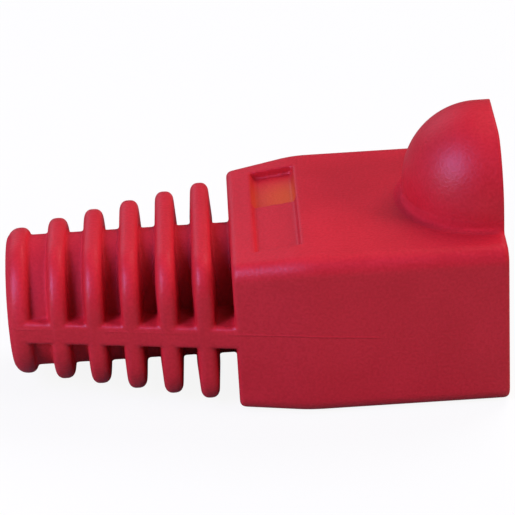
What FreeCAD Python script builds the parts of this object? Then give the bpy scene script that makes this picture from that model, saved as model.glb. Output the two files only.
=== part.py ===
"""Strain relief boot for a modular data plug, moulded in one piece of soft PVC.

The boot slides over the cable and the rear half of the plug.  Frame: the cable axis is the
X axis and +X points to the plug mouth, +Z is up through the latch hood, and the origin is on
the cable axis in the plane where the finned tail meets the body.  Millimetres.
"""
import FreeCAD, Part
import os
from math import cos, pi, radians, sin, tan
from FreeCAD import Vector

# ---- body: the boxy front that covers the plug
body_length = 15.45          # rear face to plug mouth
body_width = 14.0
body_height = 10.0
axis_height = 4.83           # cable axis above the underside
body_edge_radius = 1.0       # four long edges
rear_width = 12.7            # the body narrows towards its rear face
rear_top = 4.65              # rear face above the cable axis
rear_bottom = 4.68           # rear face below the cable axis
taper_length = 4.0           # from the rear face to full width
taper_blend_radius = 11.0    # soft turn from the taper to the straight walls
rear_edge_chamfer = 0.25
mouth_edge_chamfer = 0.2

# ---- plug socket and cable passage
socket_width = 11.8
socket_height = 8.0
socket_depth = 10.8
socket_corner_radius = 0.4
bore_diameter = 6.0
bore_past_tail = 1.0         # straight bore inside the rear of the body
funnel_diameter = 7.6        # where the cable passage opens into the socket
tail_lead_in = 0.3           # chamfer of the bore at the tail tip

# ---- tail: thin sleeve, six fins and two side spines inside one tapering envelope
tail_length = 12.95
tail_tip_rise = 0.29         # envelope at the tip stands this far outside the sleeve
tail_tip_flat = 0.1          # the envelope is nearly round there: half of each flat
tail_root_height = 9.45      # envelope at the body; its width is the body's rear width
tail_root_corner = 1.75
sleeve_diameter = 7.62
fin_count = 6
fin_pitch = 2.09
fin_root_gap = 1.65          # middle of the last fin to the body
fin_rim = 1.0                # thickness at the rim
fin_lean = 0.08              # a flank moves out this much for each millimetre of depth
tip_fin_rim = 1.3            # the fin at the tip is thicker
fin_edge_chamfer = 0.3
tip_edge_radius = 0.7        # outer edge of the fin at the tip
spine_height = 1.4
spine_lift = 0.17            # middle of the spine above the cable axis
spine_edge_chamfer = 0.2

# ---- hood: the dome that guards the plug's latch
hood_width = 9.0             # a round arch of this width, closed by a half dome
hood_height = 5.48           # crown above the top of the body
hood_straight = 0.87         # mouth plane to where the dome starts
hood_wall = 1.0              # around the latch space
rim_lean_height = 0.93       # the rim leans back over this height below the crown
rim_lean_radius = 2.15

# ---- shallow recess across the rear of the top
recess_start = 1.35          # from the rear face
recess_length = 2.65
recess_width = 9.6
recess_depth = 0.5
recess_near_depth = 0.3      # the half on the -Y side is shallower
recess_draft = 25.0          # degrees, walls across the boot

body_bottom = -axis_height
body_top = body_height - axis_height
socket_mid = (body_top + body_bottom) / 2
tail_tip_size = sleeve_diameter + 2 * tail_tip_rise
tail_tip_corner = tail_tip_size / 2 - tail_tip_flat
hood_radius = hood_width / 2
hood_middle = body_top + hood_height - hood_radius
overlap = 0.2                # how far joined pieces reach into each other
same_place = 0.01            # closer than this counts as the same place
mouth_clear = 1.0            # how far the cutters of the hollows run out of the boot
tip_edge_steps = 2           # straight steps that make up the rounded edge at the tip


def rounded_section(x, width, height, corner, middle=0.0):
    """Closed wire across the X axis: a rectangle with round corners, about height middle."""
    half_w = width / 2
    half_h = height / 2
    diagonal = corner * (1 - cos(pi / 4))
    edges = []
    flats = [
        (Vector(x, half_w - corner, half_h), Vector(x, corner - half_w, half_h)),
        (Vector(x, -half_w, half_h - corner), Vector(x, -half_w, corner - half_h)),
        (Vector(x, corner - half_w, -half_h), Vector(x, half_w - corner, -half_h)),
        (Vector(x, half_w, corner - half_h), Vector(x, half_w, half_h - corner)),
    ]
    outward = [(-1, 1), (-1, -1), (1, -1), (1, 1)]
    for number, (start, end) in enumerate(flats):
        side_y, side_z = outward[number]
        following = flats[(number + 1) % 4][0]
        middle_of_arc = Vector(x, side_y * (half_w - diagonal), side_z * (half_h - diagonal))
        edges.append(Part.LineSegment(start, end).toShape())
        edges.append(Part.Arc(end, middle_of_arc, following).toShape())
    wire = Part.Wire(edges)
    wire.translate(Vector(0, 0, middle))
    return wire


def blended_outline(points, blends):
    """Closed wire through points, with a tangent arc of the given radius at some of them."""
    edges = []
    count = len(points)
    cursor = None
    for number in range(count + 1):
        here = points[number % count]
        radius = blends.get(number % count, 0)
        if radius:
            back = (points[(number - 1) % count] - here).normalize()
            ahead = (points[(number + 1) % count] - here).normalize()
            half_turn = back.getAngle(ahead) / 2
            reach = radius / tan(half_turn)
            inward = (back + ahead).normalize()
            entry = here + back * reach
            leave = here + ahead * reach
            middle = here + inward * (radius / sin(half_turn) - radius)
        else:
            entry = here
            leave = here
        if cursor is not None:
            edges.append(Part.LineSegment(cursor, entry).toShape())
        if radius and number < count:
            edges.append(Part.Arc(entry, middle, leave).toShape())
        cursor = leave
    return Part.Wire(edges)


def long_edges(solid):
    """Edges that run along the boot, not those that lie across it."""
    return [edge for edge in solid.Edges if edge.BoundBox.XLength > same_place]


def edges_in_plane(solid, x):
    """Edges that lie in the plane across the boot at x."""
    return [edge for edge in solid.Edges
            if abs(edge.BoundBox.XMin - x) < same_place
            and abs(edge.BoundBox.XMax - x) < same_place]


def make_body():
    """Box whose rear narrows on all four sides, with soft turns and rounded edges."""
    side = blended_outline([
        Vector(0, 0, -rear_bottom),
        Vector(taper_length, 0, body_bottom),
        Vector(body_length, 0, body_bottom),
        Vector(body_length, 0, body_top),
        Vector(taper_length, 0, body_top),
        Vector(0, 0, rear_top),
    ], {1: taper_blend_radius, 4: taper_blend_radius})
    side.translate(Vector(0, -body_width, 0))
    side_prism = Part.Face(side).extrude(Vector(0, 2 * body_width, 0))
    half = body_width / 2
    plan = blended_outline([
        Vector(0, -rear_width / 2, 0),
        Vector(taper_length, -half, 0),
        Vector(body_length, -half, 0),
        Vector(body_length, half, 0),
        Vector(taper_length, half, 0),
        Vector(0, rear_width / 2, 0),
    ], {1: taper_blend_radius, 4: taper_blend_radius})
    plan.translate(Vector(0, 0, -body_height))
    plan_prism = Part.Face(plan).extrude(Vector(0, 0, 2 * body_height))
    body = side_prism.common(plan_prism).removeSplitter()
    body = body.makeFillet(body_edge_radius, long_edges(body))
    body = body.makeChamfer(rear_edge_chamfer, edges_in_plane(body, 0))
    return body.makeChamfer(mouth_edge_chamfer, edges_in_plane(body, body_length))


def envelope_half_sizes(x):
    """Half width, half height and corner radius of the tail's envelope at x."""
    share = (x + tail_length) / tail_length
    half_width = (tail_tip_size + share * (rear_width - tail_tip_size)) / 2
    half_height = (tail_tip_size + share * (tail_root_height - tail_tip_size)) / 2
    corner = tail_tip_corner + share * (tail_root_corner - tail_tip_corner)
    return half_width, half_height, corner


def fin_outline(rear, front, corner, rear_edge, lean):
    """Section of a fin as (x, depth below the rim), from its rear root round to its front root."""
    outline = [(rear - lean * corner, corner)]
    outline += [(rear + along, depth) for along, depth in rear_edge]
    outline += [(front - fin_edge_chamfer, 0), (front, fin_edge_chamfer), (front + lean * corner, corner)]
    return outline


def make_fin(rear, front, rear_edge, lean):
    """One fin: four turned corners joined by an upright and a level slab of the same section."""
    half_width, half_height, corner = envelope_half_sizes((rear + front) / 2)
    outline = fin_outline(rear, front, corner, rear_edge, lean)
    across = half_width - corner
    up = half_height - corner
    quarter = [Vector(x, 0, corner - depth) for x, depth in outline]
    turned = Part.Face(Part.makePolygon(quarter + [quarter[0]]))
    turned = turned.revolve(Vector(0, 0, 0), Vector(1, 0, 0), 360)
    corners = []
    for side_y, side_z in ((-1, -1), (-1, 1), (1, 1), (1, -1)):
        corners.append(turned.translated(Vector(0, side_y * across, side_z * up)))
    upright = [Vector(x, -across, half_height - depth) for x, depth in outline]
    upright += [Vector(x, -across, depth - half_height) for x, depth in reversed(outline)]
    upright_slab = Part.Face(Part.makePolygon(upright + [upright[0]]))
    upright_slab = upright_slab.extrude(Vector(0, 2 * across, 0))
    level = [Vector(x, half_width - depth, -up) for x, depth in outline]
    level += [Vector(x, depth - half_width, -up) for x, depth in reversed(outline)]
    level_slab = Part.Face(Part.makePolygon(level + [level[0]])).extrude(Vector(0, 0, 2 * up))
    return upright_slab.fuse(corners + [level_slab]).removeSplitter()


def make_fins():
    """The thicker fin that ends the tail, then the others, spaced evenly back from the body."""
    tip_edge = []
    for step in range(tip_edge_steps + 1):
        turn = radians(90 * step / tip_edge_steps)
        tip_edge.append((tip_edge_radius * (1 - cos(turn)), tip_edge_radius * (1 - sin(turn))))
    fins = [make_fin(-tail_length, -tail_length + tip_fin_rim, tip_edge, lean=0)]
    plain_edge = [(0, fin_edge_chamfer), (fin_edge_chamfer, 0)]
    for number in range(fin_count - 1):
        middle = -fin_root_gap - number * fin_pitch
        fins.append(make_fin(middle - fin_rim / 2, middle + fin_rim / 2, plain_edge, fin_lean))
    return fins


def make_spine(side):
    """Rib along one side of the tail, flush with the fins' rims and with the body's side."""
    rear = -tail_length + tip_edge_radius
    front = rear_edge_chamfer + overlap
    low = spine_lift - spine_height / 2
    corners = [Vector(rear, 0, low), Vector(rear, side * envelope_half_sizes(rear)[0], low),
               Vector(front, side * envelope_half_sizes(front)[0], low), Vector(front, 0, low)]
    rib = Part.Face(Part.makePolygon(corners + [corners[0]])).extrude(Vector(0, 0, spine_height))
    outside = []
    for edge in rib.Edges:
        ends = [vertex.Point for vertex in edge.Vertexes]
        if abs(ends[0].x - ends[1].x) > 1 and abs(ends[0].y) > bore_diameter / 2:
            outside.append(edge)
    return rib.makeChamfer(spine_edge_chamfer, outside)


def domed_arch(radius, bottom, mouth):
    """Round arch that ends in a half dome, on straight walls that go down to bottom."""
    back = Vector(body_length - hood_straight, 0, hood_middle)
    run = mouth - back.x
    below = back.z - bottom
    arch = Part.makeCylinder(radius, run, back, Vector(1, 0, 0))
    dome = Part.makeSphere(radius, back)
    post = Part.makeCylinder(radius, below, Vector(back.x, 0, bottom))
    walls = Part.makeBox(run, 2 * radius, below, Vector(back.x, -radius, bottom))
    return arch.fuse([dome, post, walls])


def make_hood():
    """Hood in the plane of the mouth; its rim leans back a little at the crown."""
    foot = body_top - overlap
    lean_start = body_top + hood_height - rim_lean_height
    above = lean_start + rim_lean_radius
    side = blended_outline([
        Vector(0, 0, foot),
        Vector(body_length, 0, foot),
        Vector(body_length, 0, above),
        Vector(0, 0, above),
    ], {2: rim_lean_radius})
    side.translate(Vector(0, -body_width, 0))
    behind = Part.Face(side).extrude(Vector(0, 2 * body_width, 0))
    return domed_arch(hood_radius, foot, body_length + mouth_clear).common(behind)


def make_socket():
    """Hollow for the plug, open at the mouth, with the latch space of the hood above it."""
    start = rounded_section(body_length - socket_depth, socket_width, socket_height,
                            socket_corner_radius, socket_mid)
    socket = Part.Face(start).extrude(Vector(socket_depth + mouth_clear, 0, 0))
    latch_space = domed_arch(hood_radius - hood_wall, socket_mid, body_length + mouth_clear)
    return socket.fuse(latch_space)


def make_cable_passage():
    """Bore through the tail, a chamfer at its tip and a funnel up to the socket."""
    bore_radius = bore_diameter / 2
    bore = Part.makeCylinder(bore_radius, mouth_clear + tail_length + bore_past_tail,
                             Vector(-tail_length - mouth_clear, 0, 0), Vector(1, 0, 0))
    lead_in = Part.makeCone(bore_radius + tail_lead_in, bore_radius, tail_lead_in,
                            Vector(-tail_length, 0, 0), Vector(1, 0, 0))
    funnel_end = body_length - socket_depth + overlap
    funnel = Part.makeCone(bore_radius, funnel_diameter / 2, funnel_end - bore_past_tail,
                           Vector(bore_past_tail, 0, 0), Vector(1, 0, 0))
    return bore.fuse([lead_in, funnel])


def recess_tool(start_y, end_y, depth):
    """Cutter for a stretch of the recess: drafted walls and a floor parallel to the taper."""
    rise = (body_top - rear_top) / taper_length
    pull_in = depth * tan(radians(recess_draft))

    def rectangle(inset, drop, above):
        low_x = recess_start + inset
        high_x = recess_start + recess_length - inset
        corners = []
        for x, y in ((low_x, start_y), (high_x, start_y), (high_x, end_y), (low_x, end_y)):
            corners.append(Vector(x, y, rear_top + rise * x - drop + above))
        return Part.makePolygon(corners + [corners[0]])

    top = rectangle(-pull_in, 0, depth)
    floor = rectangle(pull_in, depth, 0)
    return Part.makeLoft([floor, top], True, True)


def make_recess():
    """Both halves of the recess, meeting on the boot's middle line."""
    far = recess_tool(0, recess_width / 2, recess_depth)
    near = recess_tool(-recess_width / 2, 0, recess_near_depth)
    return far.fuse(near)


def make_boot():
    """The whole boot as one solid."""
    sleeve = Part.makeCylinder(sleeve_diameter / 2, tail_length + overlap,
                               Vector(-tail_length, 0, 0), Vector(1, 0, 0))
    pieces = [sleeve] + make_fins() + [make_spine(-1), make_spine(1), make_hood()]
    boot = make_body().fuse(pieces).removeSplitter()
    boot = boot.cut(make_socket().fuse(make_cable_passage()))
    return boot.cut(make_recess()).removeSplitter()


def main():
    os.makedirs("parts", exist_ok=True)
    boot = make_boot()
    boot.exportStep("parts/boot.step")
    box = boot.optimalBoundingBox()
    print("solids", len(boot.Solids), "valid", boot.isValid(), "faces", len(boot.Faces))
    print("size", round(box.XLength, 2), round(box.YLength, 2), round(box.ZLength, 2))
    print("volume mm3", round(boot.Volume, 1))


main()
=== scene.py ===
# %% [markdown]
# # Strain relief boot for a modular plug
#
# This script dresses a packed model of a soft red cable boot.  The solid arrives from the CAD
# tool as one fixed frame in metres: +X points to the plug mouth, +Z goes up through the latch
# hood, and the origin lies on the cable axis where the finned tail meets the boxy body.
# Nothing here changes a size.  The steps are the camera, a plain stage with soft light, the
# soft moulded surface, and its finish with the traces that the mould leaves and a painted glow.

# %% Load the frame
from math import cos, pi, radians, sin

import bpy
from mathutils import Matrix, Vector


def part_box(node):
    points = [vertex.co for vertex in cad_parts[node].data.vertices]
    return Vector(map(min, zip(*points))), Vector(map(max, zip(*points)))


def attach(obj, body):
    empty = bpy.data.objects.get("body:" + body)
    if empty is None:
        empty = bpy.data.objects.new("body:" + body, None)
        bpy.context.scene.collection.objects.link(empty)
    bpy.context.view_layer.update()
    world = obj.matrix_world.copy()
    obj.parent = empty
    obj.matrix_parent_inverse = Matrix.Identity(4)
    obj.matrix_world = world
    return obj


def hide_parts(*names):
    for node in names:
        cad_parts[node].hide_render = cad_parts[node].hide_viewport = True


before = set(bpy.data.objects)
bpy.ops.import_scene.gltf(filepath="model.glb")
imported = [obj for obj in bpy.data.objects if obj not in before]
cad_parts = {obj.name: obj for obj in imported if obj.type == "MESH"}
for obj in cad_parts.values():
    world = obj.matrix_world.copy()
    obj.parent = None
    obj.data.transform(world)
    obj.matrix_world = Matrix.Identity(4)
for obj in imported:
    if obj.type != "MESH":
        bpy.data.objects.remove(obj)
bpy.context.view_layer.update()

MM = 0.001
low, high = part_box("boot")
print("boot box in mm:", [round(v / MM, 2) for v in low], [round(v / MM, 2) for v in high])

# %% [markdown]
# ## The camera
#
# A product picture of such a small part is taken with a long lens from several boot lengths
# away, so its edges stay nearly parallel.  The view looks at the boot's side from about thirty
# degrees above, and the camera is tilted a few degrees on its own axis.  The camera is placed
# from an azimuth, an elevation, a roll and a distance, because these four numbers can be read
# and changed one by one, and a lens of fixed length keeps the size in the frame.

# %% Camera
def view_axes(azimuth, elevation, roll):
    """The camera's own right, up and back directions for a view from the boot's -Y side."""
    back = Vector((sin(azimuth) * cos(elevation), -cos(azimuth) * cos(elevation), sin(elevation)))
    right = Vector((cos(azimuth), sin(azimuth), 0))
    up = back.cross(right)
    turned_right = right * cos(roll) - up * sin(roll)
    turned_up = right * sin(roll) + up * cos(roll)
    return turned_right, turned_up, back


def make_camera(look_at, azimuth, elevation, roll, distance, lens):
    """A camera without depth of field that looks at a point of the boot."""
    right, up, back = view_axes(azimuth, elevation, roll)
    data = bpy.data.cameras.new("camera")
    data.sensor_width = 36
    data.lens = lens
    data.clip_start = 0.01
    data.clip_end = 20
    camera = bpy.data.objects.new("camera", data)
    bpy.context.collection.objects.link(camera)
    turn = Matrix((right, up, back)).transposed().to_4x4()
    camera.matrix_world = Matrix.Translation(look_at + back * distance) @ turn
    bpy.context.scene.camera = camera
    return camera


camera = make_camera(
    look_at=Vector((1.55, 0.83, 1.39)) * MM,
    azimuth=radians(-0.44),
    elevation=radians(29.27),
    roll=radians(3.44),
    distance=149.5 * MM,
    lens=178.3,
)
print("camera at", [round(v, 4) for v in camera.matrix_world.translation])

# %% [markdown]
# ## Shader helpers
#
# A finish is arithmetic on places: how far is this point from a line, is it inside a patch,
# how strong is the grain here.  Written as nodes one by one such sums are hard to read, so a
# small class wraps a socket and lets plain Python expressions build the Math nodes.  Every
# other node comes from its one method `node`, which takes the node's type, its settings and
# the values or links of its sockets.

# %% Sums on sockets
class Value:
    """A socket of a material's node tree that can be used in ordinary sums."""

    def __init__(self, tree, socket=None):
        self.tree = tree
        self.socket = socket

    def node(self, kind, settings=None, inputs=None, output=0):
        """Adds a node: its settings first, then the values or links of its sockets."""
        made = self.tree.nodes.new(kind)
        for name, value in (settings or {}).items():
            setattr(made, name, value)
        for name, value in (inputs or {}).items():
            if isinstance(value, Value):
                self.tree.links.new(value.socket, made.inputs[name])
            else:
                made.inputs[name].default_value = value
        return Value(self.tree, made.outputs[output])

    def math(self, operation, *others):
        """A Math node on this value and the others."""
        inputs = {number: value for number, value in enumerate((self,) + others)}
        return self.node("ShaderNodeMath", {"operation": operation}, inputs)

    def __add__(self, other):
        return self.math("ADD", other)

    __radd__ = __add__

    def __mul__(self, other):
        return self.math("MULTIPLY", other)

    __rmul__ = __mul__

    def __sub__(self, other):
        return self.math("SUBTRACT", other)

    def __rsub__(self, other):
        return self * -1 + other

    def fade(self, start, end):
        """0 at start, 1 at end, smooth between and level outside."""
        settings = {"interpolation_type": "SMOOTHSTEP"}
        inputs = {"Value": self, "From Min": start, "From Max": end}
        return self.node("ShaderNodeMapRange", settings, inputs)

    def near(self, target, half_width, soft):
        """1 where the value lies within half_width of the target, with a soft edge."""
        away = (self - target).math("ABSOLUTE")
        return 1 - away.fade(half_width, half_width + soft)

    def feed(self, shader, name):
        """Links this value to a socket of a shader."""
        self.tree.links.new(self.socket, shader.inputs[name])


print("a Value can:", [name for name in vars(Value) if not name.startswith("_")])

# %% Colours and materials
def blend(factor, colour_a, colour_b):
    """Mix of two colours, each three numbers or a Value."""
    first, second = [c if isinstance(c, Value) else (*c, 1) for c in (colour_a, colour_b)]
    inputs = {0: factor, 6: first, 7: second}
    return factor.node("ShaderNodeMix", {"data_type": "RGBA"}, inputs, output=2)


def start_material(name):
    """A new material, its Principled BSDF, and the Object coordinates as a Value."""
    material = bpy.data.materials.new(name)
    material.use_nodes = True
    tree = material.node_tree
    shader = tree.nodes["Principled BSDF"]
    place = Value(tree).node("ShaderNodeTexCoord", output="Object")
    return material, shader, place


# %% [markdown]
# ## Stage and light
#
# The boot lies on a plain pale floor.  To the camera the floor is nearly white, with a part
# of its real shading left so that the boot keeps its soft shadow.  To all other rays it is a
# quiet grey, which keeps bounced light low and the gaps between the fins dark.

# %% Floor
FLOOR_SIZE = 3.0
FLOOR_GAP = 0.02 * MM        # keeps the floor clear of the boot's underside


def make_floor(height, seen_glow, seen_grey, bounce_grey):
    """Floor that the camera sees partly as white glow and partly as a shaded grey."""
    bpy.ops.object.select_all(action="DESELECT")
    bpy.ops.mesh.primitive_plane_add(size=FLOOR_SIZE, location=(0, 0, height))
    floor = bpy.context.object
    floor.name = "floor"
    material, shader, place = start_material("pale_floor")
    shader.inputs["Roughness"].default_value = 0.9
    shader.inputs["Specular IOR Level"].default_value = 0.0
    seen = place.node("ShaderNodeLightPath", output="Is Camera Ray")
    blend(seen, (bounce_grey,) * 3, (seen_grey,) * 3).feed(shader, "Base Color")
    plain = Value(place.tree, shader.outputs["BSDF"])
    glow = place.node("ShaderNodeEmission")
    mix = place.node("ShaderNodeMixShader", None, {0: seen * seen_glow, 1: plain, 2: glow})
    mix.feed(place.tree.nodes["Material Output"], "Surface")
    floor.data.materials.append(material)
    return floor


floor = make_floor(low.z - FLOOR_GAP, seen_glow=0.9, seen_grey=0.8, bounce_grey=0.22)
print("floor at z in mm:", round(floor.location.z / MM, 3))

# %% [markdown]
# Five soft boxes light the boot.  One behind and above lights the top, and leaves a soft shade
# at the foot of the hood.  A white one and a violet one stand at the left front, and the violet
# one makes the highlights on the hood and the fins.  A warm one on the right brightens every
# face that looks towards the plug, and a weak one at the left rear does little but lay a sheen
# on the top.  The lamps that just fill are hidden from reflections, so that the red stays deep.
# Each lamp is given by its direction and by the level at which a white surface facing it would
# shine.

# %% Lamps
WHITE = (1.0, 0.98, 0.98)
VIOLET = (0.45, 0.4, 1.0)
WARM = (1.0, 0.93, 0.85)
LILAC = (0.85, 0.72, 1.0)


def add_softbox(name, colour, direction, level, size, distance=0.5, reflected=True):
    """Area lamp whose power gives a facing white surface the brightness level."""
    data = bpy.data.lights.new(name, "AREA")
    data.shape = "DISK"
    data.size = size
    data.color = colour
    data.energy = level * pi ** 2 * distance ** 2
    lamp = bpy.data.objects.new(name, data)
    bpy.context.collection.objects.link(lamp)
    away = Vector(direction).normalized()
    turn = away.to_track_quat("Z", "Y").to_matrix().to_4x4()
    lamp.matrix_world = Matrix.Translation(away * distance) @ turn
    lamp.visible_glossy = reflected
    return lamp


add_softbox("lamp_back", WHITE, (0.4, 0.5, 0.77), level=0.75, size=0.35, reflected=False)
add_softbox("lamp_left", WHITE, (-0.74, -0.55, 0.37), level=0.52, size=0.11, distance=0.2,
            reflected=False)
add_softbox("lamp_violet", VIOLET, (-0.62, -0.42, 0.66), level=0.7, size=0.13, distance=0.25)
add_softbox("lamp_right", WARM, (0.86, -0.3, 0.4), level=0.68, size=0.25, reflected=False)
add_softbox("lamp_sheen", LILAC, (-0.4, 0.8, 0.45), level=0.08, size=0.3)
print("lamps in watts:", {lamp.name: round(lamp.energy, 3) for lamp in bpy.data.lights})

# %% [markdown]
# The world is the white that the camera sees behind the floor.  To the boot it is nearly dark,
# with a little left for its reflections, because the lamps alone should shape the light.

# %% World
def make_world(diffuse, glossy):
    """White to the camera, quiet to the object."""
    world = bpy.data.worlds.new("studio")
    bpy.context.scene.world = world
    world.use_nodes = True
    start = Value(world.node_tree)
    seen = start.node("ShaderNodeLightPath", output="Is Camera Ray")
    shine = start.node("ShaderNodeLightPath", output="Is Glossy Ray")
    strength = seen + shine * glossy + (1 - seen) * (1 - shine) * diffuse
    background = world.node_tree.nodes["Background"]
    background.inputs["Color"].default_value = (1, 1, 1, 1)
    strength.feed(background, "Strength")
    return world


world = make_world(diffuse=0.02, glossy=0.12)
scene = bpy.context.scene
scene.view_settings.view_transform = "Standard"
print("world:", world.name, "- view transform:", scene.view_settings.view_transform)

# %% [markdown]
# ## The soft moulded surface
#
# The real boot is one moulding of soft PVC, and no edge of it is sharp: rims, corners and the
# foot of the dome are all a little rounded, outwards and inwards.  Booleans on the packed
# solid would keep its coarse facets, so the form is modelled here once more with fine round
# stretches.  It is built in millimetres from primitives, joined with Boolean modifiers,
# rebuilt from small cubes and relaxed, which rounds ridges and fills creases alike.
#
# The first helpers only select things, apply what was done, and join one solid to another.

# %% Selecting, applying, joining
CLOSE = 0.0001               # places nearer to each other than this count as one


def only(obj):
    """Selects this object alone."""
    bpy.ops.object.select_all(action="DESELECT")
    obj.select_set(True)
    bpy.context.view_layer.objects.active = obj


def edit(obj, mode="VERT"):
    """Enters edit mode on this object with nothing selected."""
    only(obj)
    bpy.ops.object.mode_set(mode="EDIT")
    bpy.ops.mesh.select_mode(type=mode)
    bpy.ops.mesh.select_all(action="DESELECT")


def done():
    """Leaves edit mode with all normals turned outwards."""
    bpy.ops.mesh.select_all(action="SELECT")
    bpy.ops.mesh.remove_doubles(threshold=CLOSE)
    bpy.ops.mesh.normals_make_consistent(inside=False)
    bpy.ops.object.mode_set(mode="OBJECT")
    return bpy.context.object


def pick_faces(obj, test):
    """Enters edit mode with the faces selected that pass the test."""
    edit(obj, "FACE")
    bpy.ops.object.mode_set(mode="OBJECT")
    for face in obj.data.polygons:
        face.select = test(face)
    bpy.ops.object.mode_set(mode="EDIT")


def pick_edges(obj, test):
    """Enters edit mode with the edges selected whose two ends pass the test."""
    edit(obj, "EDGE")
    bpy.ops.object.mode_set(mode="OBJECT")
    for edge in obj.data.edges:
        edge.select = test(*[obj.data.vertices[number].co for number in edge.vertices])
    bpy.ops.object.mode_set(mode="EDIT")


def place_in_mesh(obj, name):
    """Moves the object's place, turn and size into its mesh and names it."""
    only(obj)
    bpy.ops.object.transform_apply(location=True, rotation=True, scale=True)
    obj.name = name
    return obj


def apply_modifier(obj, kind, **settings):
    """Adds a modifier with these settings and applies it."""
    only(obj)
    modifier = obj.modifiers.new(kind.lower(), kind)
    for name, value in settings.items():
        setattr(modifier, name, value)
    bpy.ops.object.modifier_apply(modifier=modifier.name)


def combine(base, other, operation):
    """Joins the other solid to the base or cuts it away, and deletes it."""
    apply_modifier(base, "BOOLEAN", object=other, operation=operation, solver="EXACT")
    bpy.data.objects.remove(other)


# %% [markdown]
# Body, fins and socket are all upright plates with round corners that are pulled along the
# boot from ring to ring.  A ring is written as (x, half width, top, bottom), so one list of
# numbers gives a whole form, and each ring is the plate's end face extruded and scaled.

# %% Plates and rings
def rounded_plate(name, x, half_width, half_height, middle, corner, segments):
    """Upright flat face across the X axis: a rectangle with round corners."""
    bpy.ops.mesh.primitive_plane_add(size=2, location=(x, 0, middle), rotation=(0, pi / 2, 0))
    plate = bpy.context.object
    plate.scale = (half_height, half_width, 1)
    place_in_mesh(plate, name)
    edit(plate)
    bpy.ops.mesh.select_all(action="SELECT")
    bpy.ops.mesh.bevel(offset=corner, offset_type="OFFSET", segments=segments, affect="VERTICES",
                       clamp_overlap=False)
    bpy.ops.object.mode_set(mode="OBJECT")
    return plate


def face_at(obj, x):
    """Selects the many-sided end face that lies across the boot at x."""
    pick_faces(obj, lambda face: len(face.vertices) > 4 and abs(face.center.x - x) < CLOSE)


def pull_rings(obj, start, rings):
    """Pulls the end face at the start ring on through the others."""
    face_at(obj, start[0])
    before = start
    for after in rings:
        wide = after[1] / before[1]
        tall = (after[2] - after[3]) / (before[2] - before[3])
        bpy.ops.mesh.extrude_region_move(
            TRANSFORM_OT_translate={"value": (after[0] - before[0], 0, after[3] - before[3])})
        bpy.ops.transform.resize(value=(1, wide, tall), center_override=(after[0], 0, after[3]))
        before = after
    bpy.ops.object.mode_set(mode="OBJECT")


def ring_solid(name, middle_ring, corner, segments, backwards, forwards=()):
    """Solid pulled both ways from one upright plate with round corners."""
    x, half_width, top, bottom = middle_ring
    half_height = (top - bottom) / 2
    plate = rounded_plate(name, x, half_width, half_height, (top + bottom) / 2, corner, segments)
    pull_rings(plate, middle_ring, backwards)
    if forwards:
        pull_rings(plate, middle_ring, forwards)
    edit(plate)
    return done()


# %% [markdown]
# The body is an upright plate with round corners, pulled back from the mouth.  Near the rear
# each ring is a little narrower than the last, first on a gentle curve and then on a straight
# taper, so the box seems to lean into the tail.  A bevel then rounds the rims of both ends.

# %% Body
BODY_LENGTH = high.x / MM
BODY_WIDTH = (high.y - low.y) / MM
BODY_BOTTOM = low.z / MM
BODY_HEIGHT = 10.0
BODY_TOP = BODY_BOTTOM + BODY_HEIGHT
BODY_EDGE_RADIUS = 1.0
BODY_EDGE_STEPS = 16
END_EDGE_RADIUS = 0.3        # the rims of the rear face and of the mouth
END_EDGE_STEPS = 4
REAR_HALF_WIDTH = 6.35
REAR_TOP = 4.65
REAR_BOTTOM = -4.68
TAPER_LENGTH = 4.0
TAPER_BLEND_RADIUS = 11.0
CURVE_START = 5.0            # rings from here backwards follow the curve
CURVE_STEP = 0.2
CURVE_RINGS = 11


def tapered(x, rear, full):
    """Distance from the axis at x: straight taper, then an arc that meets the straight wall."""
    slope = (full - rear) / TAPER_LENGTH
    half_turn = abs(slope) / 2
    reach = TAPER_BLEND_RADIUS * half_turn
    if x <= TAPER_LENGTH - reach:
        return rear + slope * x
    if x >= TAPER_LENGTH + reach:
        return full
    left = TAPER_LENGTH + reach - x
    drop = left ** 2 / (2 * TAPER_BLEND_RADIUS)
    return full - drop if full > rear else full + drop


def body_ring(x):
    """The body's ring at x."""
    return (x, tapered(x, REAR_HALF_WIDTH, BODY_WIDTH / 2),
            tapered(x, REAR_TOP, BODY_TOP), tapered(x, REAR_BOTTOM, BODY_BOTTOM))


def round_end(obj, x):
    """Rounds the rim of the end face at x."""
    face_at(obj, x)
    bpy.ops.mesh.bevel(offset=END_EDGE_RADIUS, segments=END_EDGE_STEPS, affect="EDGES")
    bpy.ops.object.mode_set(mode="OBJECT")


def make_body():
    """The box with its tapered rear, pulled back from the mouth."""
    stations = [CURVE_START - CURVE_STEP * step for step in range(CURVE_RINGS)] + [0.0]
    rings = [body_ring(x) for x in stations]
    body = ring_solid("boot_skin", body_ring(BODY_LENGTH), BODY_EDGE_RADIUS, BODY_EDGE_STEPS, rings)
    round_end(body, 0.0)
    round_end(body, BODY_LENGTH)
    return body


skin = make_body()
print("body faces:", len(skin.data.polygons))

# %% [markdown]
# The tail is a thin sleeve with six fins and a spine on each side.  All fins are cut from one
# envelope that is nearly round at the tip and a rounded box at the body, so a single function
# gives the outline for any place.  Each fin is a plate pulled both ways: rings that shrink
# round its rim, and then an inset that moves outwards makes a flank that leans out towards the
# root, as a part must to leave its mould.  The fin at the tip is thicker, with a rounder rim,
# and its rear face is flat.

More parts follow.
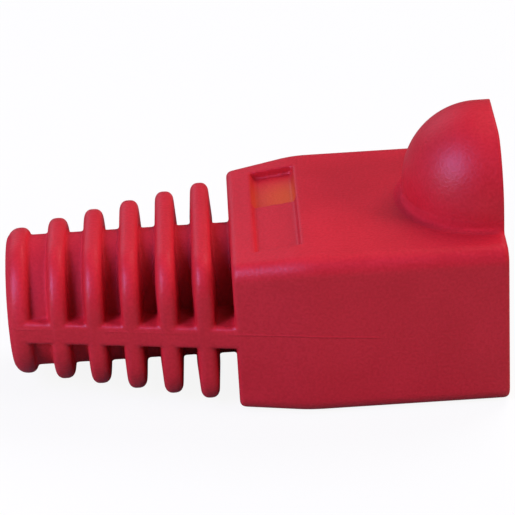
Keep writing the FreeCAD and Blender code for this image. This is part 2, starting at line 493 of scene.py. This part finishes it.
# %% Sizes of the tail
TAIL_LENGTH = -low.x / MM
SLEEVE_RADIUS = 3.81
TIP_HALF_SIZE = 4.1
TIP_CORNER = 4.0
ROOT_HALF_WIDTH = REAR_HALF_WIDTH
ROOT_HALF_HEIGHT = 4.725
ROOT_CORNER = 1.75
THIN_FINS = 5
FIN_PITCH = 2.09
FIN_ROOT_GAP = 1.65          # from the body to the middle of the first fin
FIN_RIM = 1.1
FIN_EDGE_RADIUS = 0.43       # leaves a narrow flat along the rim
FIN_EDGE_STEPS = 6
FIN_CORNER_STEPS = 20
FIN_LEAN = 0.08              # how far a flank moves out for each millimetre of depth
FLANK_SPARE = 0.1            # what a flank's inset leaves of the corner radius
TIP_FIN_RIM = 1.3
TIP_EDGE_RADIUS = 0.7
ROUND_STEPS = 128            # in a full circle
OVERLAP = 0.3                # how far a piece reaches into the one that it joins


def envelope(x):
    """Half width, half height and corner radius of the tail's envelope at x."""
    share = (x + TAIL_LENGTH) / TAIL_LENGTH
    half_width = TIP_HALF_SIZE + share * (ROOT_HALF_WIDTH - TIP_HALF_SIZE)
    half_height = TIP_HALF_SIZE + share * (ROOT_HALF_HEIGHT - TIP_HALF_SIZE)
    return half_width, half_height, TIP_CORNER + share * (ROOT_CORNER - TIP_CORNER)


print("envelope at the tip and the root:", envelope(-TAIL_LENGTH), envelope(0.0))

# %% Sleeve and fins
def rim_turn(edge, radius, side, half_width, half_height):
    """Rings that round one edge of a rim, from the rim to the flank."""
    rings = []
    for step in range(1, FIN_EDGE_STEPS + 1):
        turn = pi / 2 * step / FIN_EDGE_STEPS
        x = edge + side * radius * sin(turn)
        depth = radius * (1 - cos(turn))
        rings.append((x, half_width - depth, half_height - depth, depth - half_height))
    return rings


def lean_out(fin, x, reach):
    """Insets the fin's end face at x and moves it outwards, which makes a leaning flank."""
    face_at(fin, x)
    bpy.ops.mesh.inset(thickness=reach, depth=FIN_LEAN * reach)
    bpy.ops.object.mode_set(mode="OBJECT")


def make_fin(rear, front, rear_radius):
    """One fin between two places, with the outline that the envelope has in its middle."""
    half_width, half_height, corner = envelope((rear + front) / 2)
    front_ring = (front - FIN_EDGE_RADIUS, half_width, half_height, -half_height)
    rear_ring = (rear + rear_radius, half_width, half_height, -half_height)
    forwards = rim_turn(front_ring[0], FIN_EDGE_RADIUS, 1, half_width, half_height)
    backwards = [rear_ring] + rim_turn(rear_ring[0], rear_radius, -1, half_width, half_height)
    fin = ring_solid("fin", front_ring, corner, FIN_CORNER_STEPS, backwards, forwards)
    reach = corner - FIN_EDGE_RADIUS - FLANK_SPARE
    lean_out(fin, front, reach)
    if rear_radius == FIN_EDGE_RADIUS:
        lean_out(fin, rear, reach)
    return fin


def make_sleeve():
    """Cylinder round the cable axis, from the tip to just inside the body."""
    length = TAIL_LENGTH + OVERLAP
    bpy.ops.mesh.primitive_cylinder_add(vertices=ROUND_STEPS, radius=SLEEVE_RADIUS, depth=length,
                                        location=(length / 2 - TAIL_LENGTH, 0, 0),
                                        rotation=(0, pi / 2, 0))
    return place_in_mesh(bpy.context.object, "sleeve")


combine(skin, make_sleeve(), "UNION")
combine(skin, make_fin(-TAIL_LENGTH, TIP_FIN_RIM - TAIL_LENGTH, TIP_EDGE_RADIUS), "UNION")
for number in range(THIN_FINS):
    middle = -FIN_ROOT_GAP - number * FIN_PITCH
    fin = make_fin(middle - FIN_RIM / 2, middle + FIN_RIM / 2, FIN_EDGE_RADIUS)
    combine(skin, fin, "UNION")
print("with fins:", len(skin.data.polygons))

# %% [markdown]
# A flat spine runs along each side of the tail and ties the fins to the body, so that the tail
# bends up and down more easily than sideways.  It is a bar whose outer side follows the
# envelope, so it stays flush with the fins, and a bevel rounds its two long outer edges.

# %% Spines
SPINE_HEIGHT = 1.4
SPINE_MIDDLE = 0.17          # a little above the cable axis
SPINE_FRONT = 0.4            # reaches this far into the body
SPINE_WIDTH = 4.0            # from the cable axis, before its outer side is moved
SPINE_EDGE_RADIUS = 0.25
SPINE_EDGE_STEPS = 4


def make_spine(side):
    """Bar from the tip's rim to the body, on the side -1 or 1."""
    rear = TIP_EDGE_RADIUS - TAIL_LENGTH
    place = ((rear + SPINE_FRONT) / 2, side * SPINE_WIDTH / 2, SPINE_MIDDLE)
    bpy.ops.mesh.primitive_cube_add(size=1, location=place)
    spine = bpy.context.object
    spine.scale = (SPINE_FRONT - rear, SPINE_WIDTH, SPINE_HEIGHT)
    place_in_mesh(spine, "spine")
    for vertex in spine.data.vertices:
        if abs(vertex.co.y) > SPINE_WIDTH / 2:
            vertex.co.y = side * envelope(vertex.co.x)[0]
    pick_edges(spine, lambda a, b: abs(a.x - b.x) > CLOSE and abs(a.y) > SPINE_WIDTH / 2)
    bpy.ops.mesh.bevel(offset=SPINE_EDGE_RADIUS, segments=SPINE_EDGE_STEPS, affect="EDGES")
    return done()


for side in (-1, 1):
    combine(skin, make_spine(side), "UNION")
print("with spines:", len(skin.data.polygons))

# %% [markdown]
# The hood is a round arch that ends in half a dome, on straight walls.  It starts as a sphere
# with its poles along the boot, cut in half at its widest ring: the cut face is pulled to the
# mouth as the arch, and then the lower half is cut away and the new cut face pulled down as
# the walls.  A block with one round edge trims it, so that its rim leans back at the crown.
# The same form, one wall smaller, will later hollow out the space for the latch.

# %% Hood
HOOD_RADIUS = 4.5
HOOD_TOP = high.z / MM
HOOD_MIDDLE = HOOD_TOP - HOOD_RADIUS
HOOD_STRAIGHT = 0.87         # length of the arch in front of the dome
RIM_LEAN_RADIUS = 2.15
RIM_LEAN_HEIGHT = 0.93       # how much of the round edge lies below the crown
RIM_LEAN_STEPS = 48
TRIM_HEIGHT = 8.0
PAST = 1.0                   # how far a cutter or an untrimmed arch runs on past its end


def cut_flat(point, normal):
    """In edit mode, cuts off all beyond a plane and closes the cut, which stays selected."""
    bpy.ops.mesh.select_all(action="SELECT")
    bpy.ops.mesh.bisect(plane_co=point, plane_no=normal, use_fill=True, clear_outer=True)


def make_domed_arch(name, radius, bottom, mouth):
    """Half dome with an arch up to the mouth, on walls down to the bottom."""
    back = BODY_LENGTH - HOOD_STRAIGHT
    bpy.ops.mesh.primitive_uv_sphere_add(segments=ROUND_STEPS, ring_count=ROUND_STEPS // 2,
                                         radius=radius, location=(back, 0, HOOD_MIDDLE),
                                         rotation=(0, pi / 2, 0))
    arch = place_in_mesh(bpy.context.object, name)
    edit(arch, "FACE")
    cut_flat((back, 0, 0), (1, 0, 0))
    bpy.ops.mesh.extrude_region_move(TRANSFORM_OT_translate={"value": (mouth - back, 0, 0)})
    cut_flat((0, 0, HOOD_MIDDLE), (0, 0, -1))
    bpy.ops.mesh.extrude_region_move(TRANSFORM_OT_translate={"value": (0, 0, bottom - HOOD_MIDDLE)})
    return done()


def make_rim_trim():
    """Block whose upper front edge is round, which leans the hood's rim back at the crown."""
    top = HOOD_TOP - RIM_LEAN_HEIGHT + RIM_LEAN_RADIUS
    place = (BODY_LENGTH / 2, 0, top - TRIM_HEIGHT / 2)
    bpy.ops.mesh.primitive_cube_add(size=1, location=place)
    trim = bpy.context.object
    trim.scale = (BODY_LENGTH, BODY_WIDTH, TRIM_HEIGHT)
    place_in_mesh(trim, "trim")

    def on_upper_front(*ends):
        return all(end.x > BODY_LENGTH - CLOSE and end.z > top - CLOSE for end in ends)

    pick_edges(trim, on_upper_front)
    bpy.ops.mesh.bevel(offset=RIM_LEAN_RADIUS, segments=RIM_LEAN_STEPS, affect="EDGES")
    return done()


hood = make_domed_arch("hood", HOOD_RADIUS, BODY_TOP - OVERLAP, BODY_LENGTH + PAST)
combine(hood, make_rim_trim(), "INTERSECT")
combine(skin, hood, "UNION")
print("with hood:", len(skin.data.polygons))

# %% [markdown]
# Now the hollows.  The plug's socket is a rounded box open at the mouth, the latch space above
# it has the hood's form, one wall smaller, and the cable comes through a bore with a lead-in
# at the tip, which a funnel widens into the socket.  Each cutter runs a little past the boot
# or into the next hollow, so that no two faces share a plane.

# %% Hollows
SOCKET_WIDTH = 11.8
SOCKET_HEIGHT = 8.0
SOCKET_DEPTH = 10.8
SOCKET_BACK = BODY_LENGTH - SOCKET_DEPTH
SOCKET_MIDDLE = (BODY_TOP + BODY_BOTTOM) / 2
SOCKET_CORNER = 0.4
SOCKET_CORNER_STEPS = 6
HOOD_WALL = 1.0
BORE_RADIUS = 3.0
LEAD_IN = 0.3
FUNNEL_START = 1.0
FUNNEL_RADIUS = 3.8
FUNNEL_PAST = 0.2            # how far the funnel reaches into the socket


def make_socket():
    """Rounded box for the plug, pulled from its back to past the mouth."""
    half = SOCKET_HEIGHT / 2
    start = (SOCKET_BACK, SOCKET_WIDTH / 2, SOCKET_MIDDLE + half, SOCKET_MIDDLE - half)
    end = (BODY_LENGTH + PAST,) + start[1:]
    return ring_solid("socket", start, SOCKET_CORNER, SOCKET_CORNER_STEPS, [end])


def make_round_cutter(name, x0, radius0, x1, radius1):
    """Cone or cylinder along the cable axis."""
    bpy.ops.mesh.primitive_cone_add(vertices=ROUND_STEPS, radius1=radius0, radius2=radius1,
                                    depth=x1 - x0, location=((x0 + x1) / 2, 0, 0),
                                    rotation=(0, pi / 2, 0))
    return place_in_mesh(bpy.context.object, name)


tip = -TAIL_LENGTH
cutters = [
    make_socket(),
    make_domed_arch("latch_space", HOOD_RADIUS - HOOD_WALL, SOCKET_MIDDLE, BODY_LENGTH + PAST),
    make_round_cutter("bore", tip - PAST, BORE_RADIUS, FUNNEL_START + PAST, BORE_RADIUS),
    make_round_cutter("lead_in", tip - LEAD_IN, BORE_RADIUS + 2 * LEAD_IN,
                      tip + LEAD_IN, BORE_RADIUS),
    make_round_cutter("funnel", FUNNEL_START, BORE_RADIUS,
                      SOCKET_BACK + FUNNEL_PAST, FUNNEL_RADIUS),
]
for cutter in cutters:
    combine(skin, cutter, "DIFFERENCE")
print("with hollows:", len(skin.data.polygons))

# %% [markdown]
# The shallow recess across the rear of the top is a print field for a size or a colour mark,
# left bare here.  Its floor follows the taper, so its cutter is a block turned to the slope of
# the top, with drafted walls in front and behind.  The far part of the floor is deeper, so two
# such blocks stand side by side.

# %% Recess
RECESS_START = 1.35
RECESS_LENGTH = 2.65
RECESS_FAR_Y = 5.0
RECESS_NEAR_Y = -4.6
RECESS_STEP_Y = 1.1          # the floor is deeper on the far side of this line
RECESS_FAR_DEPTH = 0.5
RECESS_NEAR_DEPTH = 0.3
RECESS_DRAFT = 0.47          # how far a wall leans in for each millimetre of depth
RECESS_ABOVE = 0.5           # how far a block stands out of the top
RECESS_OVERLAP = 0.01        # how far the near block reaches into the far one


def make_recess(start_y, end_y, depth):
    """Drafted block, narrowest at its floor, turned to the slope of the top."""
    slope = (BODY_TOP - REAR_TOP) / TAPER_LENGTH
    middle = RECESS_START + RECESS_LENGTH / 2
    floor_length = RECESS_LENGTH - 2 * RECESS_DRAFT * depth
    bpy.ops.mesh.primitive_cube_add(size=1)
    block = bpy.context.object
    block.scale = (floor_length, end_y - start_y, depth + RECESS_ABOVE)
    block.location = (0, (start_y + end_y) / 2, (RECESS_ABOVE - depth) / 2)
    place_in_mesh(block, "recess")
    pick_faces(block, lambda face: face.normal.z > 1 - CLOSE)
    stretch = (RECESS_LENGTH + 2 * RECESS_DRAFT * RECESS_ABOVE) / floor_length
    bpy.ops.transform.resize(value=(stretch, 1, 1), center_override=(0, 0, RECESS_ABOVE))
    bpy.ops.object.mode_set(mode="OBJECT")
    block.rotation_euler = (0, -slope, 0)
    block.location = (middle, 0, REAR_TOP + slope * middle)
    return place_in_mesh(block, "recess")


far_block = make_recess(RECESS_STEP_Y, RECESS_FAR_Y, RECESS_FAR_DEPTH)
near_block = make_recess(RECESS_NEAR_Y, RECESS_STEP_Y + RECESS_OVERLAP, RECESS_NEAR_DEPTH)
combine(skin, far_block, "DIFFERENCE")
combine(skin, near_block, "DIFFERENCE")
print("with recess:", len(skin.data.polygons))

# %% [markdown]
# Last the crisp joins become soft.  Rebuilding from cubes of a tenth of a millimetre keeps
# the form and gives an even mesh, relaxing it rounds each ridge and crease, and thinning it
# afterwards takes faces mostly out of the flat stretches.  The millimetres become metres, and
# the finished skin rides on the boot's only body in place of the packed solid.

# %% Soft edges
CUBE = 0.1
RELAX_SHARE = 0.5            # how far each pass moves a point towards its neighbours
RELAX_PASSES = 5
KEEP = 0.3                   # share of the faces that the thinning leaves
only(skin)
skin.data.remesh_voxel_size = CUBE
bpy.ops.object.voxel_remesh()
print("rebuilt faces:", len(skin.data.polygons))
apply_modifier(skin, "SMOOTH", factor=RELAX_SHARE, iterations=RELAX_PASSES)
apply_modifier(skin, "DECIMATE", ratio=KEEP)
bpy.ops.object.shade_smooth()
skin.scale = (MM, MM, MM)
place_in_mesh(skin, "boot_skin")
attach(skin, "root")
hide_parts("boot")
print("skin faces:", len(skin.data.polygons))

# %% [markdown]
# ## Finish
#
# Soft PVC takes its look from its mould.  The steel is finely eroded, so the skin has a satin
# grain of about a sixth of a millimetre that spreads every highlight, and the red pigment is
# never mixed quite evenly, so the colour drifts a little from place to place.  Two noise
# patterns on the Object coordinates make both, because they then stay on the boot from every
# side and need no unwrapping.  Two more traces of how the boot is made, and a painted glow on
# the floor of the recess, are drawn with plain sums on the same coordinates, in millimetres.
#
# The first is the parting line.  The halves of the mould meet along the spines, which leaves
# a low ridge, straight on the spine and falling a little as it fades out on the body.

# %% Parting line
SEAM_HEIGHT = 0.5            # z of the line along the tail
SEAM_BEND_X = 3.6            # from here on it falls ...
SEAM_FALL = 0.087            # ... this much for each millimetre
SEAM_HALF_WIDTH = 0.02
SEAM_SOFT = 0.07
SEAM_CLEAR = (3.4, 3.6)      # distance from the middle over which it begins, clear of the bore
SEAM_END = (7.5, 8.8)        # x over which it fades out


def seam_ridge(x, y, z):
    """1 on the parting line of the mould, 0 beside it."""
    level = (x - SEAM_BEND_X).math("MAXIMUM", 0.0) * -SEAM_FALL + SEAM_HEIGHT
    line = z.near(level, SEAM_HALF_WIDTH, SEAM_SOFT)
    outside = y.math("ABSOLUTE").fade(*SEAM_CLEAR)
    return line * outside * (1 - x.fade(*SEAM_END))


# %% [markdown]
# The tight corners of the mould, at the foot of the hood and down between the fins, can't be
# smoothed as the open faces are, so the boot is duller there.

# %% Tight corners
FOOT_WIDTH = (0.35, 0.25)    # half width and soft edge of the ring round the hood
FOOT_HEIGHT = (0.4, 0.3)     # the same, up and down from the body's top
GAP_RADIUS = (3.95, 4.1)     # distance from the axis over which the roots of the fins end
GAP_SOFT = 0.2               # how soon the gaps' dullness starts behind the rear face


def hood_foot(x, y, z):
    """1 in the tight corner where the hood stands on the body, 0 elsewhere."""
    behind = (x - (BODY_LENGTH - HOOD_STRAIGHT)).math("MINIMUM", 0.0)
    reach = (behind * behind + y * y).math("SQRT")
    return reach.near(HOOD_RADIUS, *FOOT_WIDTH) * z.near(BODY_TOP, *FOOT_HEIGHT)


def between_fins(x, y, z):
    """1 on the sleeve and in the roots of the fins, 0 elsewhere."""
    from_axis = (y * y + z * z).math("SQRT")
    return (1 - from_axis.fade(*GAP_RADIUS)) * (1 - x.fade(-GAP_SOFT, 0.0))


# %% [markdown]
# The deeper part of the recess is where the skin is thinnest.  Its floor gets a painted orange
# glow there, light drawn into the base colour, strongest near the step and towards the plug.

# %% Painted glow on the recess floor
GLOW_STEP = (RECESS_STEP_Y - 0.1, RECESS_STEP_Y + 0.2)   # y over which the tone begins
GLOW_FAR = (2.2, 5.2)        # y over which it fades towards the far wall
GLOW_RISE = (1.5, 3.8)       # x over which it rises towards the plug ...
GLOW_REAR = 0.45             # ... from this level ...
GLOW_GAIN = 0.6              # ... by this much
GLOW_REACH = (1.2, 0.2)      # half length along the recess, and soft edge
GLOW_TOP = (3.5, 4.0)        # z over which it begins, so that the walls inside stay clear
GLOW_LEAST = 0.5             # level of the tone where the cloudy pattern is lowest ...
GLOW_CLOUD = 0.6             # ... and what the pattern adds


def painted_glow(x, y, z, cloud):
    """Strength of the painted orange glow: a level up to about 1 in the recess, 0 elsewhere."""
    across = y.fade(*GLOW_STEP) * (1 - y.fade(*GLOW_FAR))
    middle = RECESS_START + RECESS_LENGTH / 2
    along = (x.fade(*GLOW_RISE) * GLOW_GAIN + GLOW_REAR) * x.near(middle, *GLOW_REACH)
    return across * along * z.fade(*GLOW_TOP) * (cloud * GLOW_CLOUD + GLOW_LEAST)


# %% [markdown]
# Now the material itself.  Both noise patterns shift the red between a darker and a lighter
# tone, the cloudy one also makes the boot a little rougher in places, and the grain and the
# parting line go into the bump.  The line shows only where the cloudy pattern says that the
# mould is worn.

# %% Red soft PVC
RED_DARK = (0.49, 0.0115, 0.022)
RED_LIGHT = (0.56, 0.0165, 0.030)
RED_PAINTED_GLOW = (0.60, 0.085, 0.012)
GRAIN_SCALE = 6000.0         # both scales for each metre
CLOUD_SCALE = 350.0
TONE_CLOUD = 1.6             # what each pattern adds to the tone
TONE_GRAIN = 3.0
TONE_SHIFT = 1.8             # puts the middle of the sum near a half
ROUGHNESS = 0.42
ROUGHER_CLOUD = 0.1
ROUGHER_FOOT = 0.5
ROUGHER_GAPS = 0.3
WORN = (0.4, 0.6)            # levels of the cloudy pattern over which the line appears
GRAIN_DEPTH = 0.02           # both depths in millimetres
SEAM_DEPTH = 0.02


def red_pvc():
    """Satin red soft PVC with its grain, its drift of colour, the traces of its mould and a painted
    glow.
    """
    material, shader, place = start_material("red_soft_pvc")
    x, y, z = [
        place.node("ShaderNodeSeparateXYZ", None, {0: place}, output=axis) * (1 / MM)
        for axis in "XYZ"
    ]
    grain = place.node("ShaderNodeTexNoise", None,
                       {"Vector": place, "Scale": GRAIN_SCALE, "Detail": 2.0})
    cloud = place.node("ShaderNodeTexNoise", None,
                       {"Vector": place, "Scale": CLOUD_SCALE, "Detail": 3.0})
    tone = cloud * TONE_CLOUD + grain * TONE_GRAIN - TONE_SHIFT
    red = blend(tone, RED_DARK, RED_LIGHT)
    # The painted orange glow on the recess floor is mixed into the base colour here.
    blend(painted_glow(x, y, z, cloud), red, RED_PAINTED_GLOW).feed(shader, "Base Color")
    dull = hood_foot(x, y, z) * ROUGHER_FOOT + between_fins(x, y, z) * ROUGHER_GAPS
    (cloud * ROUGHER_CLOUD + ROUGHNESS + dull).feed(shader, "Roughness")
    worn = cloud.fade(*WORN)
    height = grain * GRAIN_DEPTH + seam_ridge(x, y, z) * worn * SEAM_DEPTH
    bump = place.node("ShaderNodeBump", None, {"Height": height, "Strength": 1.0, "Distance": MM})
    bump.feed(shader, "Normal")
    shader.inputs["Specular IOR Level"].default_value = 0.6
    return material


skin.data.materials.clear()
skin.data.materials.append(red_pvc())
print("finish:", skin.data.materials[0].name)

# %% [markdown]
# ## Sizes
# #
# # Dressing must not change a size, and the packed model's box is printed at the start.
